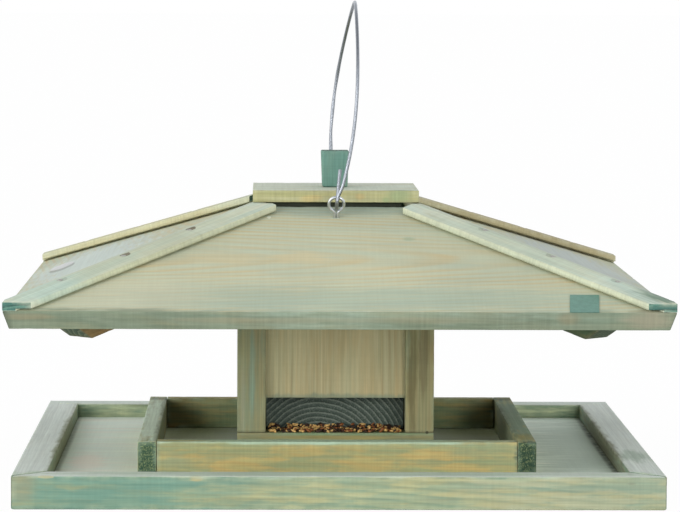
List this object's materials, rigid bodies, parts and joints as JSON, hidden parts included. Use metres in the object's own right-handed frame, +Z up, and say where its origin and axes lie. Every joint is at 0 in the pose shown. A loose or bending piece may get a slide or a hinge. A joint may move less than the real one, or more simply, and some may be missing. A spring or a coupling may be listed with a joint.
{
  "type": "bird table",
  "caption": "Square wooden bird table: mitred tray, inner feed tray and a seed silo under a four-sided roof with a lift-off lid and a swinging wire handle.",
  "frame": {"origin": "middle of the tray's underside", "axes": "+Z up, -Y to the front with the seed gap, X across"},
  "size_m": [0.614, 0.6142, 0.4639],
  "materials": {
    "tray_rail_wood": "green pressure-treated pine, planed",
    "tray_floor_wood": "pale green treated board",
    "feed_rail_wood": "green-tan treated pine",
    "silo_bar_wood": "olive treated pine",
    "silo_wall_wood": "beige-grey treated board",
    "divider_wood": "dark green end grain",
    "seed": null,
    "rafter_wood": "treated pine, brown-green",
    "roof_wood": "sage and khaki treated pine",
    "batten_wood": "pale blue-green treated pine",
    "lid_wood": "pale treated pine",
    "plug_wood": "treated pine",
    "knob_wood": "teal treated pine",
    "galvanised_wire": "galvanised wire",
    "plate_green": "bare green plate",
    "fastener_steel": "zinc-plated steel"
  },
  "bodies": {
    "stand": {"tray_floor": "tray_floor_wood", "tray_rail_front": "tray_rail_wood", "tray_rail_right": "tray_rail_wood", "tray_rail_back": "tray_rail_wood", "tray_rail_left": "tray_rail_wood", "feed_rail_front": "feed_rail_wood", "feed_rail_right": "feed_rail_wood", "feed_rail_back": "feed_rail_wood", "feed_rail_left": "feed_rail_wood", "silo_sill_front": "silo_bar_wood", "silo_sill_right": "silo_bar_wood", "silo_sill_back": "silo_bar_wood", "silo_sill_left": "silo_bar_wood", "silo_post_front_right": "silo_bar_wood", "silo_post_back_right": "silo_bar_wood", "silo_post_back_left": "silo_bar_wood", "silo_post_front_left": "silo_bar_wood", "silo_wall_front": "silo_wall_wood", "silo_wall_right": "silo_wall_wood", "silo_wall_back": "silo_wall_wood", "silo_wall_left": "silo_wall_wood", "seed_divider": "divider_wood", "seed_fill_front": "seed", "seed_fill_back": "seed", "hip_rafter_front_right": "rafter_wood", "hip_rafter_back_right": "rafter_wood", "hip_rafter_back_left": "rafter_wood", "hip_rafter_front_left": "rafter_wood", "roof_panel_front": "roof_wood", "roof_panel_right": "roof_wood", "roof_panel_back": "roof_wood", "roof_panel_left": "roof_wood", "hip_batten_front_right": "batten_wood", "hip_batten_back_right": "batten_wood", "hip_batten_back_left": "batten_wood", "hip_batten_front_left": "batten_wood", "eye_front": "galvanised_wire", "eye_back": "galvanised_wire", "label_plate": "plate_green", "floor_screws": "fastener_steel", "post_screws": "fastener_steel", "frame_screws": "fastener_steel", "rafter_screws": "fastener_steel", "batten_nails": "fastener_steel"},
    "lid": {"lid_board": "lid_wood", "lid_plug": "plug_wood", "lid_knob": "knob_wood", "knob_screw": "fastener_steel"},
    "handle": {"wire_handle": "galvanised_wire"}
  },
  "joints": [
    {"name": "lid_lift", "type": "slide", "parent": "stand", "child": "lid", "axis": [0, 0, 1], "range_m": [0, 0.1]},
    {"name": "handle_swing", "type": "hinge", "parent": "stand", "child": "handle", "pos_m": [0, 0, 0.26336], "axis": [0, 1, 0], "range_deg": [-81.5, 70.5]}
  ]
}
